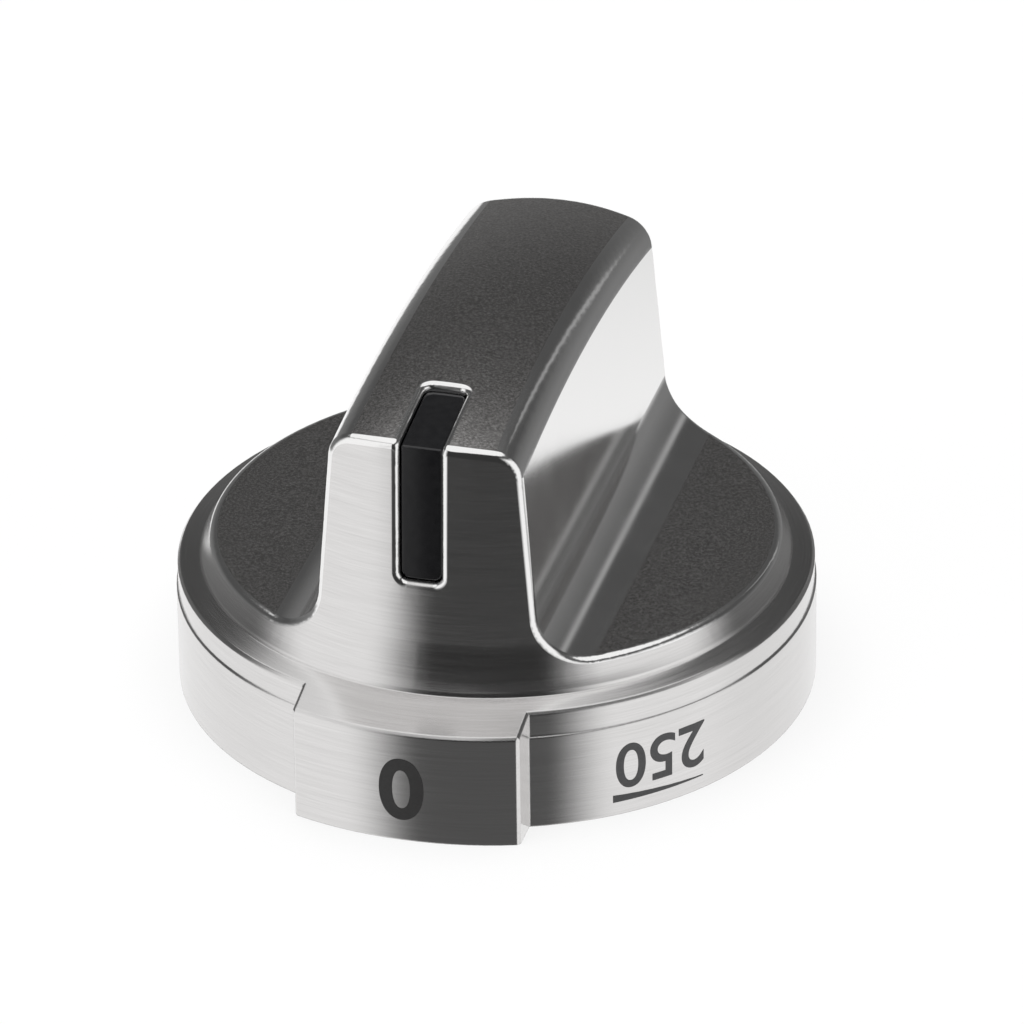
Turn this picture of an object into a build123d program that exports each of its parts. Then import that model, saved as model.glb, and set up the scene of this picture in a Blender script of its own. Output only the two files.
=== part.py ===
"""Control knob of an oven or cooktop: a die-cast shell with a grip bar, a pointer inlay and a push-on hub.

Millimetres, +Z up. The origin is on the knob's axis, in the plane of the rim that faces the panel.
The grip bar runs along Y, and its pointer end and the index pad on the skirt face -Y.
"""

import os
from math import asin, cos, degrees, radians, sin, tan

from build123d import *

# Skirt, rim band and shoulder of the shell
skirt_radius = 30.0
skirt_height = 9.4
ledge = 0.15
rim_height = 12.0
shoulder_slope = 12.0
shoulder_width = 2.3
crease_step = 0.25
edge_break = 0.25

# Index pad that stands proud of the skirt
pad_proud = 3.05
pad_width = 21.4

# Flare and grip bar
flare_height = 17.0
end_setback = 5.0
end_draft = 3.0
grip_height = 38.7
grip_width = 17.5
grip_draft = 4.7
crest_offset = -1.5
arch_radius = 155.0
crown_radius = 36.0
long_edge_round = 3.0
grip_edge_round = 0.8

# Finger scoops beside the grip bar
scoop_floor = 14.7
scoop_slope = 1.2
scoop_round = 5.0

# Pointer slot and its inlay
slot_width = 4.0
slot_depth = 1.7
slot_bottom = 22.9
slot_run = 9.4
slot_corner = 0.8
slot_rim_round = 0.55
inlay_recess = 0.7
inlay_clearance = 0.05
inlay_round = 0.25

# Hollow underside
wall = 2.4
core_draft = 1.0
cavity_chamfer = 0.8
boss_wall = 2.0

# Hub for the appliance's stem
stem_diameter = 6.0
stem_flat = 4.6
stem_clearance = 0.05
hub_radius = 5.5
hub_length = 17.0
flange_thickness = 2.0
guide_length = 6.0
drive_relief = 0.25
stem_depth = 15.0
mouth_chamfer = 0.4

# Spring clip that presses on the stem's flat
clip_thickness = 0.4
clip_width = 4.0
clip_length = 7.6
clip_leg = 1.2
clip_bow = 0.4
clip_preload = 0.1
clip_clearance = 0.1

# Far enough past the knob for any cut or trim
reach = 2 * (skirt_radius + pad_proud)

# Nearness at which a point counts as on a face or in a plane
touch = 0.001


def slope_drop(run):
    """Fall of the shoulder's cone over a radial run."""
    return run * tan(radians(shoulder_slope))


rim_radius = skirt_radius - ledge
crease_radius = skirt_radius - shoulder_width
crease_height = rim_height + slope_drop(rim_radius - crease_radius)
pad_radius = skirt_radius + pad_proud
end_radius = skirt_radius - end_setback
pad_height = rim_height - slope_drop(pad_radius - rim_radius)
cavity_radius = skirt_radius - wall
cavity_height = crease_height - wall
boss_radius = hub_radius + boss_wall
bore_radius = stem_diameter / 2 + stem_clearance
flat_offset = stem_flat - stem_diameter / 2
clip_crest = flat_offset - clip_preload
clip_seat = clip_crest + clip_bow + clip_thickness
clip_low = guide_length + clip_thickness
clip_high = clip_low + clip_length


def end_face(height):
    """Radius of the grip's drafted end faces at a height."""
    return end_radius + (grip_height - height) * tan(radians(end_draft))


def grip_side(height):
    """Half width of the grip between its drafted side walls at a height."""
    return grip_width / 2 + (grip_height - height) * tan(radians(grip_draft))


def revolved(outline):
    """Solid of revolution about the knob's axis from a closed outline in the XZ plane."""
    return revolve(Plane.XZ * make_face(outline), Axis.Z)


def hub_of_revolution(inset, base):
    """Flare and end faces, drawn in by an inset, as one turned solid from a base up to past the crest."""
    top = grip_height + reach
    foot = (crease_radius - inset, crease_height + crease_step)
    start = (end_face(flare_height) - inset, flare_height)
    flare = TangentArc(start, foot, tangent=(sin(radians(end_draft)), -cos(radians(end_draft))))
    rest = Polyline(foot, (foot[0], base), (0, base), (0, top), (end_face(top) - inset, top), start)
    return revolved([flare, rest])


def barrel(inset):
    """All that lies under the grip's arched and crowned top, lowered by an inset."""
    crest = grip_height - inset
    pivot = crest - arch_radius
    edge = grip_width
    shoulder = crest - crown_radius + (crown_radius**2 - edge**2) ** 0.5
    crown = ThreePointArc((-edge, shoulder), (0, crest), (edge, shoulder))
    sides = Polyline(
        (edge, shoulder), (reach, shoulder), (reach, pivot + wall), (-reach, pivot + wall),
        (-reach, shoulder), (-edge, shoulder),
    )
    section = Plane.XZ.offset(-crest_offset) * make_face([crown, sides])
    pivot_axis = Axis((0, crest_offset, pivot), (1, 0, 0))
    spread = 2 * degrees(asin(reach / arch_radius))
    return revolve(section.rotate(pivot_axis, -spread / 2), pivot_axis, spread)


def grip_prism(inset):
    """Space between the grip's side walls, drawn in by an inset, as a bar along Y."""
    low, high = -reach, grip_height + reach
    section = Polyline(
        (-grip_side(low) + inset, low), (grip_side(low) - inset, low),
        (grip_side(high) - inset, high), (-grip_side(high) + inset, high), close=True,
    )
    return extrude(Plane.XZ * make_face(section), reach, both=True)


def scoop():
    """Finger scoop on the +X side: grip wall, floor round and gently sloped floor, as a cut along Y."""
    high = grip_height + reach
    foot = scoop_floor + (crease_radius - grip_side(scoop_floor)) * tan(radians(scoop_slope))
    edge = scoop_floor - (reach - crease_radius) * tan(radians(scoop_slope))
    section = make_face(Polyline(
        (grip_side(high), high), (grip_side(foot), foot), (reach, edge), (reach, high), close=True,
    ))
    root = section.vertices().sort_by(Axis.Y)[:2].sort_by(Axis.X)[0]
    return extrude(Plane.XZ * fillet(root, scoop_round), reach, both=True)


def sampled(edge):
    """Three points along an edge."""
    return [edge @ share for share in (0.25, 0.5, 0.75)]


def lies_on(edge, solid):
    """Whether an edge lies on the outside of a solid."""
    return all(solid.faces().sort_by_distance(p)[0].distance_to(p) < touch for p in sampled(edge))


def radius_at(point):
    """Distance of a point from the knob's axis."""
    return Vector(point.X, point.Y, 0).length


def grip_core(inset, base):
    """Turned flare under the barrel top, both drawn in by an inset."""
    return hub_of_revolution(inset, base) & barrel(inset)


def grip_and_flare():
    """Flare and grip bar between the two scoops, with every outer edge rounded."""
    foot_height = crease_height + crease_step
    turned = hub_of_revolution(0, cavity_height)
    side = scoop()
    bar = (turned & barrel(0)) - side - mirror(side, Plane.YZ)
    waist = (scoop_floor + grip_height) / 2
    ridges = bar.edges().filter_by(lambda e: (e @ 0.5).Z > waist and abs((e @ 0.5).Y) < grip_width / 2)
    bar = fillet(ridges, long_edge_round)

    def is_rim(edge):
        points = sampled(edge)
        above_foot = all(p.Z > foot_height + touch for p in points)
        on_seam = all(abs(p.Y) < touch for p in points)
        on_flare_line = all(abs(p.Z - flare_height) < touch for p in points)
        on_turned_face = lies_on(edge, turned)
        return above_foot and on_turned_face and not on_seam and not on_flare_line

    bar = fillet(bar.edges().filter_by(is_rim), grip_edge_round)
    circles = bar.edges().filter_by(GeomType.CIRCLE)
    foot = circles.filter_by_position(Axis.Z, foot_height - touch, foot_height + touch)
    return chamfer(foot, crease_step / 2)


def skirt():
    """Skirt wall, ledge, rim band and shoulder cone with the proud index pad, not yet hollowed."""
    blank = revolved(Polyline(
        (0, 0), (pad_radius, 0), (pad_radius, pad_height),
        (crease_radius, crease_height), (0, crease_height), close=True,
    ))
    trim = revolved(Polyline(
        (skirt_radius, -wall), (reach, -wall), (reach, crease_height), (rim_radius, crease_height),
        (rim_radius, skirt_height + ledge), (skirt_radius, skirt_height), close=True,
    ))
    pad_span = Pos(0, -reach / 2, 0) * Box(pad_width, reach, reach)
    body = blank - (trim - pad_span)
    shoulder = body.faces().filter_by(GeomType.CONE).sort_by(Axis.Z)[-1]
    seam_free = shoulder.edges().filter_by(GeomType.LINE, reverse=True)
    outline = seam_free.filter_by(lambda e: (e @ 0.5).Z < crease_height - touch)
    corners = body.edges().filter_by(Axis.Z).filter_by(lambda e: radius_at(e @ 0.5) > pad_radius - touch)
    return chamfer(outline + corners, edge_break)


def slot_bar(clearance):
    """Block that reaches into the grip's pointer end as far as the slot does, less a clearance."""
    back = slot_run - end_radius - clearance
    low = slot_bottom + clearance
    width = slot_width - 2 * clearance
    block = Pos(0, back, low) * Box(width, reach, reach, align=(Align.CENTER, Align.MAX, Align.MIN))
    foot_edges = block.edges().filter_by(Axis.Y).sort_by(Axis.Z)[:2]
    back_edges = block.edges().filter_by(Axis.Z).sort_by(Axis.Y)[-2:]
    return fillet(foot_edges + back_edges, slot_corner)


def cut_slot(body):
    """Body with the pointer slot down its end face and back over its top, and the slot's mouth rounded."""
    bar = slot_bar(0)
    cut = body - (bar - grip_core(slot_depth, cavity_height))
    mouth = cut.edges().filter_by(lambda e: lies_on(e, bar) and lies_on(e, body))
    return fillet(mouth, slot_rim_round)


def underside():
    """Hollow of the shell: the skirt's bowl, the grip's core around the boss and the boss's own bore."""
    lean = cavity_height * tan(radians(core_draft))
    bowl = revolved(Polyline(
        (0, -wall), (cavity_radius, -wall), (cavity_radius, 0), (cavity_radius - lean, cavity_height),
        (0, cavity_height), close=True,
    ))
    bowl = chamfer(bowl.edges().filter_by(GeomType.CIRCLE).sort_by(Axis.Z)[-1], cavity_chamfer)
    core = grip_core(slot_depth + wall, 0) & grip_prism(wall)
    upright = (Align.CENTER, Align.CENTER, Align.MIN)
    boss = Pos(0, 0, flange_thickness) * Cylinder(boss_radius, grip_height, align=upright)
    bore = Cylinder(hub_radius, hub_length, align=upright)
    return bowl + core - boss + bore


def knob_body():
    """Die-cast shell: skirt with pad, flare and slotted grip, hollowed from below."""
    return skirt() + cut_slot(grip_and_flare()) - underside()


def pointer_inlay():
    """Black L-shaped inlay on the floor of the slot, a little below the metal around it."""
    seat = grip_core(slot_depth, cavity_height)
    skin = grip_core(inlay_recess, cavity_height)
    inlay = (slot_bar(inlay_clearance) - seat) & skin
    return fillet(inlay.edges().filter_by(lambda e: lies_on(e, skin)), inlay_round)


def shaft_hub():
    """Moulded hub: flange, round guide at the mouth, eased D bore above it and the clip's pocket."""
    upright = (Align.CENTER, Align.CENTER, Align.MIN)
    flange = Cylinder(boss_radius, flange_thickness, align=upright)
    body = flange + Cylinder(hub_radius, hub_length, align=upright)
    flat = Pos(0, flat_offset + stem_clearance, 0) * Box(
        2 * hub_radius, hub_radius, hub_length, align=(Align.CENTER, Align.MIN, Align.MIN)
    )
    drive = Pos(0, 0, guide_length) * Cylinder(
        bore_radius + drive_relief, stem_depth - guide_length, align=upright
    )
    body -= Cylinder(bore_radius, guide_length, align=upright) + (drive - flat)
    mouth = body.edges().filter_by(GeomType.CIRCLE).group_by(Axis.Z)[0].sort_by(SortBy.RADIUS)[0]
    body = chamfer(mouth, mouth_chamfer)

    def pocket(low, high, depth):
        width = clip_width + 2 * clip_clearance
        return Pos(0, 0, low) * Box(width, depth, high - low, align=(Align.CENTER, Align.MIN, Align.MIN))

    body -= pocket(clip_low - clip_clearance, clip_high + clip_clearance, clip_seat)
    leg_depth = clip_seat + clip_leg
    for foot in (clip_low, clip_high - clip_thickness):
        body -= pocket(foot - clip_clearance, foot + clip_thickness + clip_clearance, leg_depth)
    return body


def spring_clip():
    """Bowed strip of spring steel whose two legs hook in the hub behind the stem's flat."""
    middle = (clip_low + clip_high) / 2
    front_end = clip_seat - clip_thickness
    crest_back = clip_crest + clip_thickness
    back = ThreePointArc((clip_seat, clip_low), (crest_back, middle), (clip_seat, clip_high))
    front = ThreePointArc((front_end, clip_low), (clip_crest, middle), (front_end, clip_high))
    ends = [Line(front @ 0, back @ 0), Line(front @ 1, back @ 1)]
    section = make_face([back, front] + ends)
    for foot in (clip_low, clip_high - clip_thickness):
        section += Pos(front_end, foot) * Rectangle(
            clip_thickness + clip_leg, clip_thickness, align=(Align.MIN, Align.MIN)
        )
    return extrude(Plane.YZ * section, clip_width / 2, both=True)


if __name__ == "__main__":
    os.makedirs("parts", exist_ok=True)
    for make in (knob_body, pointer_inlay, shaft_hub, spring_clip):
        export_step(make(), f"parts/{make.__name__}.step")
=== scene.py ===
"""Looks of the control knob: finishes, printed marks, floor, studio light and camera. Metres, +Z up."""

from math import cos, hypot, radians, sin, tau

import bmesh
import bpy
from mathutils import Matrix, Vector


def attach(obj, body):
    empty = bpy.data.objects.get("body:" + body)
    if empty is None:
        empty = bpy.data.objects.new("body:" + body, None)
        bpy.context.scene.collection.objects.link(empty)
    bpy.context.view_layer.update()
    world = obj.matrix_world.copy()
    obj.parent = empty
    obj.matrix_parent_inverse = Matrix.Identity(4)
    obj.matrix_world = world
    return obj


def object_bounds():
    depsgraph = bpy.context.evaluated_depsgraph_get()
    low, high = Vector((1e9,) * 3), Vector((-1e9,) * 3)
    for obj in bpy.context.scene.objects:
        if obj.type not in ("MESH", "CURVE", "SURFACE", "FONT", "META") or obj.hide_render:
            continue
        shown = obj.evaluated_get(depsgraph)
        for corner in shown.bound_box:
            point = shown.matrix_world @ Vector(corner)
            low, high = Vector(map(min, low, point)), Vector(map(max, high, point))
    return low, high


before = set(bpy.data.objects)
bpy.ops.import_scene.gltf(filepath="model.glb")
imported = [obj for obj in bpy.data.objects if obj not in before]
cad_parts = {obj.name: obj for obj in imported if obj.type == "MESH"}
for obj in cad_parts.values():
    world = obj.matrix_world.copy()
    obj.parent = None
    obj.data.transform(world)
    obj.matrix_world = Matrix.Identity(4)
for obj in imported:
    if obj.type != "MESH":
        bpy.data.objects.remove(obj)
cad_low, cad_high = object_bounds()

MM = 0.001

# Places on the shell that part one finish from the next
skirt_radius = cad_high.x
pad_radius = -cad_low.y
shell_height = cad_high.z
bowl_radius = skirt_radius - 2.3 * MM
bowl_height = 10.1 * MM
core_half_width = 6.8 * MM
core_half_length = 21.8 * MM
core_height = shell_height - 4.1 * MM
shoulder_height = 12.8 * MM
scoop_height = 17.5 * MM
crown_height = 31.0 * MM
end_reach = 18.0 * MM

# Limits on the upward, outward and sideways parts of a facet's normal that tell the shell's faces apart
level_up = 0.97
facing_down = -0.9
facing_axis = -0.3
off_round = 0.02

# Finishes of the shell, in the order of its materials
TURNED, SATIN, POLISHED, CAST = range(4)

# Turned metal: length and width of its streaks, share of the fine ones, and the radius of its worn edges
fine_streak = (6 * MM, 0.12 * MM)
broad_streak = (14 * MM, 0.7 * MM)
fine_share = 0.65
worn_edge = 0.2 * MM
edge_samples = 8

# Spacing of the rolled lines in the spring clip's metal along X, Y and Z
spring_lines = (0.05 * MM, 1.0 * MM, 3.0 * MM)

# Part of a noise's range that holds nearly all of it
noise_low = 0.3
noise_high = 0.7

# Printed marks: heights over the rim, and places along the skirt's curve from the pointer
index_digit = "0"
index_size = 6.5 * MM
index_height = 5.4 * MM
index_weight = 0.16 * MM
scale_digits = "250"
scale_size = 4.7 * MM
scale_place = 23.9 * MM
scale_height = 5.0 * MM
scale_weight = 0.05 * MM
wedge_start = 18.84 * MM
wedge_end = 28.48 * MM
wedge_foot = 1.36 * MM
wedge_thick = 0.76 * MM
wedge_thin = 0.1 * MM
ink_film = 0.012 * MM
ink_step = 0.4 * MM

# Camera, from the photograph's perspective; yaw and pitch are slopes off the line to the aim
camera_azimuth = radians(15.755)
camera_elevation = radians(29.90)
camera_distance = 0.85
camera_roll = radians(-0.8134)
camera_yaw = 0.0018
camera_pitch = 0.0011
aim_height = 15.0 * MM
focal_pixels = 9092.56
image_pixels = 1024
sensor_width = 36.0

# Studio round the knob: white table, roof and side boxes, grey walls, dark front and a slim strip behind.
# A swing is a turn from the camera's side to its right, a rise is an angle over the horizon, and the spans
# of the table's and the roof's edges are sideways parts of a direction.
tent_white = 1.0
table_span = (-0.6, 0.3)
table_drops = ((0.0, radians(18)), (0.45, radians(4)), (1.0, radians(24)))
table_blur = radians(3)
wall_low = radians(-10)
wall_high = radians(50)
wall_greys = ((0.0, 0.20), (0.37, 0.14), (0.58, 0.08), (0.80, 0.08), (1.0, 0.12))
roof_span = (-0.14, 0.08)
roof_edges = (radians(44.5), radians(53))
roof_blur = radians(1.5)
left_box = (radians(-90), radians(-39))
left_box_top = radians(42)
right_box = (radians(30), radians(88))
right_box_top = radians(32)
box_side_blur = radians(13)
box_top_blur = radians(8)
front_low = radians(-33)
front_high = radians(-22)
front_greys = (0.13, 0.035)
strip_swing = (radians(137), radians(141))
strip_rise = (radians(8), radians(38))
strip_blur = radians(1.5)
strip_grey = 0.4
floor_size = 6.0
floor_gap = 0.02 * MM
floor_white = 0.95
floor_glow = 0.8
lamp_height = 1.5
lamp_size = 1.5
lamp_power = 15.0


def node(tree, kind, inputs=None, **settings):
    """Adds a shader node, sets its inputs to values or links them, and returns its outputs."""
    made = tree.nodes.new("ShaderNode" + kind)
    for name, value in settings.items():
        setattr(made, name, value)
    for socket, value in (inputs or {}).items():
        if isinstance(value, bpy.types.NodeSocket):
            tree.links.new(value, made.inputs[socket])
        else:
            made.inputs[socket].default_value = value
    return made.outputs


def math(tree, operation, *values):
    """Result of one arithmetic step on values or sockets."""
    return node(tree, "Math", dict(enumerate(values)), operation=operation)[0]


def spread(tree, value, low, high, start=0.0, end=1.0, kind="LINEAR"):
    """Maps a value from low..high to start..end, held at both ends."""
    inputs = {"Value": value, "From Min": low, "From Max": high, "To Min": start, "To Max": end}
    return node(tree, "MapRange", inputs, interpolation_type=kind)[0]


def noise(tree, vector, size, detail):
    """Noise with lumps of a given size."""
    return node(tree, "TexNoise", {"Vector": vector, "Scale": 1 / size, "Detail": detail})["Fac"]


def between(tree, factor, first, second):
    """Value between two, by a factor."""
    return node(tree, "Mix", {0: factor, 2: first, 3: second})[0]


def window(tree, value, low, high, blur):
    """One where a value lies from low to high, falling to nought over a blur on both sides."""
    start = spread(tree, value, low - blur, low + blur, 0.0, 1.0, "SMOOTHSTEP")
    end = spread(tree, value, high - blur, high + blur, 1.0, 0.0, "SMOOTHSTEP")
    return math(tree, "MULTIPLY", start, end)


def patch(tree, swing, rise, swings, rises, side_blur, top_blur):
    """One on a soft-edged patch of the studio's wall between two swings and two rises."""
    across = window(tree, swing, *swings, side_blur)
    return math(tree, "MULTIPLY", across, window(tree, rise, *rises, top_blur))


def ramp(tree, factor, stops):
    """Colour or grey along a row of stops, each a place from 0 to 1 and a colour or grey."""
    made = tree.nodes.new("ShaderNodeValToRGB")
    elements = made.color_ramp.elements
    while len(elements) < len(stops):
        elements.new(1.0)
    for element, (place, shade) in zip(elements, stops):
        element.position = place
        element.color = (*shade, 1) if isinstance(shade, tuple) else (shade, shade, shade, 1)
    tree.links.new(factor, made.inputs[0])
    return made.outputs["Color"]


def finish(name, **values):
    """New material with a principled shader whose constant values are set on its own sockets."""
    material = bpy.data.materials.new(name)
    material.use_nodes = True
    tree = material.node_tree
    skin = tree.nodes["Principled BSDF"]
    for socket, value in values.items():
        skin.inputs[socket.replace("_", " ")].default_value = value
    return material, tree, skin, node(tree, "TexCoord")["Object"]


def dress(tree, skin, tint, gloss, bump, dark, light, smooth, rough, depth, edge=0.0):
    """Varies a shader's colour, roughness and bumps by three noises, with edges worn to a radius."""
    colour = ramp(tree, spread(tree, tint, noise_low, noise_high), ((0.0, dark), (1.0, light)))
    tree.links.new(colour, skin.inputs["Base Color"])
    tree.links.new(spread(tree, gloss, noise_low, noise_high, smooth, rough), skin.inputs["Roughness"])
    relief = {"Height": bump, "Distance": depth, "Strength": 1.0}
    if edge:
        relief["Normal"] = node(tree, "Bevel", {"Radius": edge}, samples=edge_samples)[0]
    tree.links.new(node(tree, "Bump", relief)["Normal"], skin.inputs["Normal"])


def turned_metal():
    """Metal brushed round the knob's axis, with fine streaks along the brushing."""
    material, tree, skin, place = finish(
        "turned_metal", Metallic=1.0, Anisotropic=0.75, Anisotropic_Rotation=0.25
    )
    x, y, z = node(tree, "SeparateXYZ", {0: place})
    back = math(tree, "MULTIPLY", y, -1.0)
    turn = math(tree, "ARCTAN2", x, back)
    squares = [math(tree, "POWER", side, 2.0) for side in (x, y)]
    radius = math(tree, "SQRT", math(tree, "ADD", *squares))
    along = node(tree, "CombineXYZ", {0: back, 1: x})[0]
    tree.links.new(along, skin.inputs["Tangent"])

    def streaks(length, width, share):
        lane = node(tree, "CombineXYZ", {
            0: math(tree, "MULTIPLY", turn, skirt_radius / length),
            1: math(tree, "DIVIDE", radius, width), 2: math(tree, "DIVIDE", z, width),
        })[0]
        return math(tree, "MULTIPLY", noise(tree, lane, size=1.0, detail=3.0), share)

    both = math(tree, "ADD", streaks(*fine_streak, fine_share), streaks(*broad_streak, 1 - fine_share))
    dress(
        tree, skin, tint=both, gloss=both, bump=both,
        dark=(0.66, 0.65, 0.645), light=(0.76, 0.75, 0.745), smooth=0.16, rough=0.22,
        depth=1.3e-6, edge=worn_edge,
    )
    return material


def satin_metal():
    """Fine blasted metal with a mottled grain."""
    material, tree, skin, place = finish("satin_metal", Metallic=1.0)
    grain = noise(tree, place, size=0.25 * MM, detail=3.0)
    dress(
        tree, skin, tint=grain, gloss=grain, bump=grain,
        dark=(0.48, 0.467, 0.458), light=(0.76, 0.742, 0.732), smooth=0.18, rough=0.24, depth=9e-7,
    )
    return material


def polished_metal():
    """Bright plated metal on the walls, floor rounds and edges of the grip."""
    material, tree, skin, place = finish("polished_metal", Metallic=1.0)
    grain = noise(tree, place, size=0.5 * MM, detail=2.0)
    cloud = noise(tree, place, size=6 * MM, detail=2.0)
    dress(
        tree, skin, tint=cloud, gloss=cloud, bump=grain,
        dark=(0.86, 0.855, 0.85), light=(0.90, 0.895, 0.89), smooth=0.11, rough=0.15, depth=5e-7,
    )
    return material


def cast_metal():
    """Bare casting inside the shell: dull, with a sandy skin."""
    material, tree, skin, place = finish("cast_metal", Metallic=1.0)
    grain = noise(tree, place, size=0.6 * MM, detail=4.0)
    cloud = noise(tree, place, size=9 * MM, detail=2.0)
    dress(
        tree, skin, tint=cloud, gloss=grain, bump=grain,
        dark=(0.42, 0.42, 0.43), light=(0.52, 0.52, 0.52), smooth=0.45, rough=0.62, depth=2e-5,
    )
    return material


def spring_metal():
    """Bright rolled strip, brushed along its length."""
    material, tree, skin, place = finish("spring_metal", Metallic=1.0)
    scales = [1 / width for width in spring_lines]
    lanes = node(tree, "VectorMath", {0: place, 1: scales}, operation="MULTIPLY")[0]
    lines = noise(tree, lanes, size=1.0, detail=2.0)
    dress(
        tree, skin, tint=lines, gloss=lines, bump=lines,
        dark=(0.46, 0.46, 0.48), light=(0.56, 0.56, 0.58), smooth=0.22, rough=0.34, depth=1e-6,
    )
    return material


def moulded_plastic(name, dark, light, smooth, rough, grain_size, depth):
    """Plastic with a faint moulded grain."""
    material, tree, skin, place = finish(name, IOR=1.5)
    grain = noise(tree, place, grain_size, detail=3.0)
    dress(tree, skin, grain, grain, grain, dark, light, smooth, rough, depth)
    return material


def shell_zone(face):
    """Which finish a facet of the shell calls for."""
    spot, way = face.center, face.normal
    radius = hypot(spot.x, spot.y)
    in_bowl = spot.z < bowl_height and radius < bowl_radius
    in_core = abs(spot.x) < core_half_width and abs(spot.y) < core_half_length and spot.z < core_height
    outward = (way.x * spot.x + way.y * spot.y) / radius
    sideways = abs(way.x * spot.y - way.y * spot.x) / radius
    if in_bowl or in_core or outward < facing_axis or way.z < facing_down:
        return CAST
    if spot.z < shoulder_height:
        return TURNED
    if way.z > level_up and (spot.z < scoop_height or spot.z > crown_height):
        return SATIN
    return TURNED if sideways < off_round and abs(spot.y) > end_reach else POLISHED


def paint(name, *materials):
    """Gives a CAD node its materials."""
    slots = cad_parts[name].data.materials
    slots.clear()
    for material in materials:
        slots.append(material)


def smooth_faces(mesh):
    """Groups of facets that share corners, which are the shell's smooth faces."""
    parents = list(range(len(mesh.vertices)))

    def root(corner):
        while parents[corner] != corner:
            parents[corner] = parents[parents[corner]]
            corner = parents[corner]
        return corner

    for facet in mesh.polygons:
        for corner in facet.vertices[1:]:
            parents[root(corner)] = root(facet.vertices[0])
    groups = {}
    for facet in mesh.polygons:
        groups.setdefault(root(facet.vertices[0]), []).append(facet)
    return groups.values()


def paint_shell():
    """Gives each smooth face of the shell the finish that most of its area calls for."""
    finishes = turned_metal(), satin_metal(), polished_metal(), cast_metal()
    paint("knob_body", *finishes)
    for group in smooth_faces(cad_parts["knob_body"].data):
        areas = [0.0] * len(finishes)
        for facet in group:
            areas[shell_zone(facet)] += facet.area
        for facet in group:
            facet.material_index = areas.index(max(areas))


def flat_text(text, size, weight):
    """Flat mesh of plain upright digits, centred on the origin, whose height is the size."""
    curve = bpy.data.curves.new("digits", "FONT")
    curve.body = text
    curve.size = size
    curve.offset = weight
    holder = bpy.data.objects.new("digits", curve)
    mesh = bpy.data.meshes.new_from_object(holder)
    shape = bmesh.new()
    shape.from_mesh(mesh)
    low, high = (Vector(pick(v.co[i] for v in shape.verts) for i in range(3)) for pick in (min, max))
    scale = size / (high.y - low.y)
    middle = (low + high) / 2
    for vert in shape.verts:
        vert.co = (vert.co - middle) * scale
    bpy.data.objects.remove(holder)
    return shape


def flat_wedge():
    """Tapered bar from its thick end to its thin end, drawn along the skirt from the pointer."""
    shape = bmesh.new()
    corners = [
        (wedge_start, wedge_foot), (wedge_end, wedge_foot),
        (wedge_end, wedge_foot + wedge_thin), (wedge_start, wedge_foot + wedge_thick),
    ]
    shape.faces.new([shape.verts.new((u, v, 0)) for u, v in corners])
    return shape


def print_on(name, shape, radius, place, height, turned, ink):
    """Lays a flat shape on the skirt as a film of ink, at a place along its curve from the pointer."""
    way = -1 if turned else 1
    for vert in shape.verts:
        vert.co = Vector((place + way * vert.co.x, height + way * vert.co.y, 0))
    spread_low = min(v.co.x for v in shape.verts)
    spread_high = max(v.co.x for v in shape.verts)
    for step in range(1, int((spread_high - spread_low) / ink_step) + 1):
        cut = Vector((spread_low + step * ink_step, 0, 0))
        whole = shape.verts[:] + shape.edges[:] + shape.faces[:]
        bmesh.ops.bisect_plane(shape, geom=whole, plane_co=cut, plane_no=Vector((1, 0, 0)))
    reach = radius + ink_film
    for vert in shape.verts:
        turn = vert.co.x / radius
        vert.co = Vector((reach * sin(turn), -reach * cos(turn), vert.co.y))
    mesh = bpy.data.meshes.new(name)
    bmesh.ops.triangulate(shape, faces=shape.faces[:])
    shape.to_mesh(mesh)
    shape.free()
    mesh.materials.append(ink)
    piece = bpy.data.objects.new(name, mesh)
    bpy.context.collection.objects.link(piece)
    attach(piece, "root")


def print_marks():
    """Prints the index mark on the pad, and the scale mark over its tapered bar on the skirt."""
    dry = {"smooth": 0.45, "rough": 0.6, "grain_size": 0.15 * MM, "depth": 1e-6}
    ink = moulded_plastic("print_ink", dark=(0.022, 0.021, 0.021), light=(0.034, 0.033, 0.033), **dry)
    pale_ink = moulded_plastic("pale_ink", dark=(0.055, 0.055, 0.057), light=(0.085, 0.085, 0.088), **dry)
    index = flat_text(index_digit, index_size, index_weight)
    print_on("index_mark", index, pad_radius, 0, index_height, True, ink)
    digits = flat_text(scale_digits, scale_size, scale_weight)
    print_on("scale_mark", digits, skirt_radius, scale_place, scale_height, True, pale_ink)
    print_on("wedge_mark", flat_wedge(), skirt_radius, 0, 0, False, pale_ink)


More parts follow.
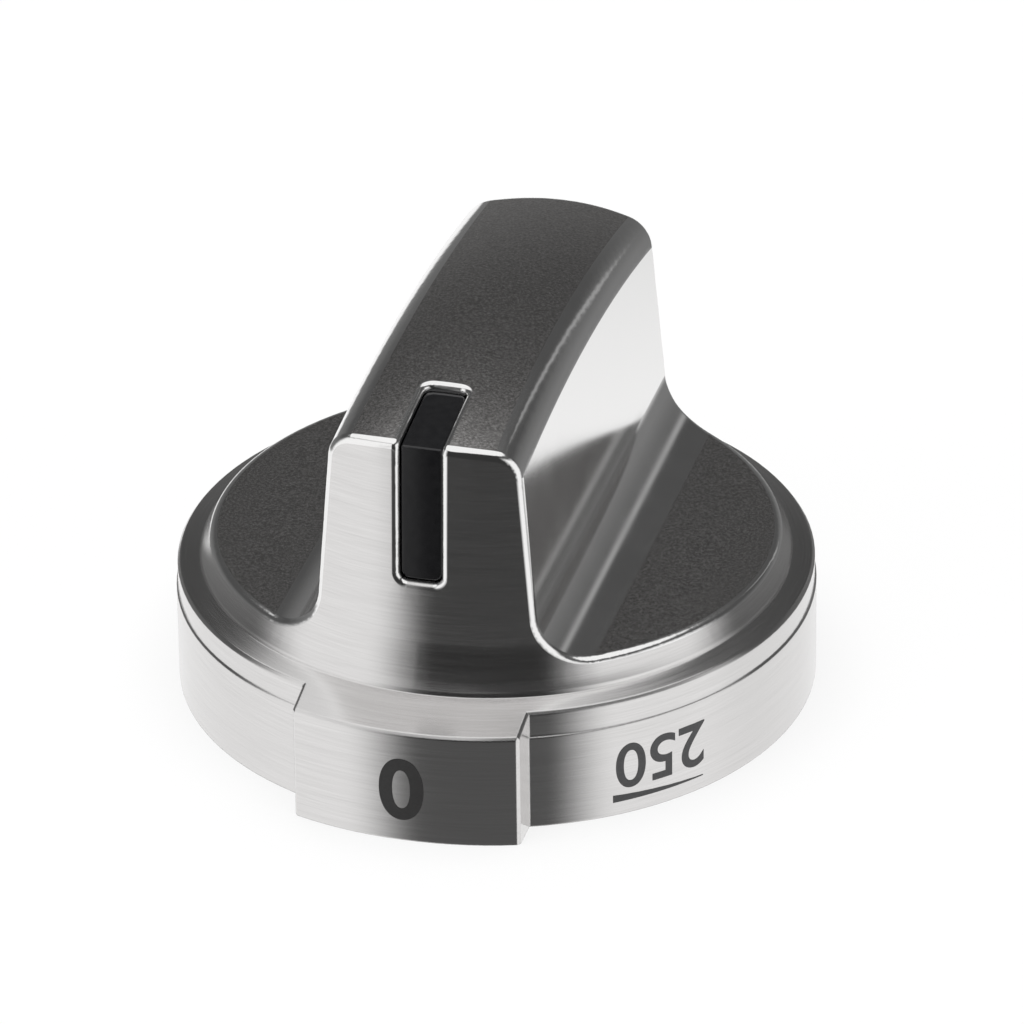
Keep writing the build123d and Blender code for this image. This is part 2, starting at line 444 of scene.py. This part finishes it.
def tent():
    """World of soft studio walls: white below, above and at the sides, dark before and behind the knob."""
    world = bpy.data.worlds.new("tent")
    world.use_nodes = True
    bpy.context.scene.world = world
    tree = world.node_tree
    way = node(tree, "TexCoord")["Generated"]
    turn = {"Vector": way, "Angle": -camera_azimuth}
    turned = node(tree, "VectorRotate", turn, rotation_type="Z_AXIS")[0]
    x, y, z = node(tree, "SeparateXYZ", {0: turned})
    swing = math(tree, "ARCTAN2", x, math(tree, "MULTIPLY", y, -1.0))
    rise = math(tree, "ARCSINE", z)
    over_edge = math(tree, "ADD", rise, ramp(tree, spread(tree, x, *table_span), table_drops))
    table = spread(tree, over_edge, -table_blur, table_blur, 1.0, 0.0, "SMOOTHSTEP")
    over_roof = math(tree, "SUBTRACT", rise, spread(tree, x, *roof_span, *roof_edges))
    ceiling = spread(tree, over_roof, -roof_blur, roof_blur, 0.0, 1.0, "SMOOTHSTEP")
    wall = ramp(tree, spread(tree, rise, wall_low, wall_high), wall_greys)
    strip = patch(tree, swing, rise, strip_swing, strip_rise, strip_blur, strip_blur)
    wall = between(tree, strip, wall, strip_grey)
    left = patch(tree, swing, rise, left_box, (-tau, left_box_top), box_side_blur, box_top_blur)
    right = patch(tree, swing, rise, right_box, (-tau, right_box_top), box_side_blur, box_top_blur)
    front = window(tree, swing, left_box[1], right_box[0], box_side_blur)
    behind = math(tree, "MULTIPLY", table, math(tree, "SUBTRACT", 1.0, front))
    sides = math(tree, "MAXIMUM", left, right)
    lit = math(tree, "MAXIMUM", sides, math(tree, "MAXIMUM", behind, ceiling))
    dark = between(tree, front, wall, spread(tree, rise, front_low, front_high, *front_greys))
    shade = between(tree, lit, dark, tent_white)
    seen = node(tree, "LightPath")["Is Camera Ray"]
    level = math(tree, "MAXIMUM", seen, shade)
    glow = tree.nodes["Background"]
    tree.links.new(level, glow.inputs["Strength"])
    glow.inputs["Color"].default_value = (1, 1, 1, 1)


def floor():
    """Plain white floor, clear from below, that keeps the soft shadow. The metal doesn't mirror it."""
    mesh = bpy.data.meshes.new("floor")
    shape = bmesh.new()
    bmesh.ops.create_grid(shape, x_segments=1, y_segments=1, size=floor_size / 2)
    shape.to_mesh(mesh)
    shape.free()
    plane = bpy.data.objects.new("floor", mesh)
    plane.location.z = cad_low.z - floor_gap
    plane.visible_glossy = False
    bpy.context.collection.objects.link(plane)
    material = bpy.data.materials.new("floor_white")
    material.use_nodes = True
    tree = material.node_tree
    tree.nodes.remove(tree.nodes["Principled BSDF"])
    paper = node(tree, "BsdfDiffuse", {"Color": (floor_white, floor_white, floor_white, 1)})[0]
    glow = node(tree, "Emission", {"Strength": 1.0})[0]
    seen = math(tree, "MULTIPLY", node(tree, "LightPath")["Is Camera Ray"], floor_glow)
    both = node(tree, "MixShader", {0: seen, 1: paper, 2: glow})[0]
    below = node(tree, "NewGeometry")["Backfacing"]
    clear = node(tree, "BsdfTransparent")[0]
    one_sided = node(tree, "MixShader", {0: below, 1: both, 2: clear})[0]
    tree.links.new(one_sided, tree.nodes["Material Output"].inputs["Surface"])
    mesh.materials.append(material)


def lamp():
    """Large soft lamp overhead for the floor and the plastics."""
    light = bpy.data.lights.new("roof_lamp", "AREA")
    light.size = lamp_size
    light.energy = lamp_power
    holder = bpy.data.objects.new("roof_lamp", light)
    holder.location.z = lamp_height
    holder.visible_glossy = False
    bpy.context.collection.objects.link(holder)


def camera():
    """Camera of the photograph."""
    outward = Vector((
        sin(camera_azimuth) * cos(camera_elevation), -cos(camera_azimuth) * cos(camera_elevation),
        sin(camera_elevation),
    ))
    right = Vector((cos(camera_azimuth), sin(camera_azimuth), 0))
    up = outward.cross(right)
    forward = (right * camera_yaw + up * camera_pitch - outward).normalized()
    right = (right - forward * right.dot(forward)).normalized()
    up = right.cross(forward)
    level = Matrix((right, up, -forward)).transposed()
    lens = bpy.data.cameras.new("camera")
    lens.sensor_width = sensor_width
    lens.lens = focal_pixels / image_pixels * sensor_width
    lens.clip_end = floor_size
    holder = bpy.data.objects.new("camera", lens)
    place = outward * camera_distance + Vector((0, 0, aim_height))
    rolled = level @ Matrix.Rotation(camera_roll, 3, "Z")
    holder.matrix_world = Matrix.Translation(place) @ rolled.to_4x4()
    bpy.context.collection.objects.link(holder)
    bpy.context.scene.camera = holder


paint_shell()
paint("pointer_inlay", moulded_plastic(
    "gloss_black", dark=(0.009, 0.009, 0.010), light=(0.014, 0.014, 0.015), smooth=0.03, rough=0.06,
    grain_size=0.8 * MM, depth=5e-7,
))
paint("shaft_hub", moulded_plastic(
    "matt_hub", dark=(0.040, 0.040, 0.044), light=(0.060, 0.060, 0.066), smooth=0.48, rough=0.62,
    grain_size=0.25 * MM, depth=8e-6,
))
paint("spring_clip", spring_metal())
print_marks()
floor()
tent()
lamp()
camera()
bpy.context.scene.view_settings.view_transform = "Standard"
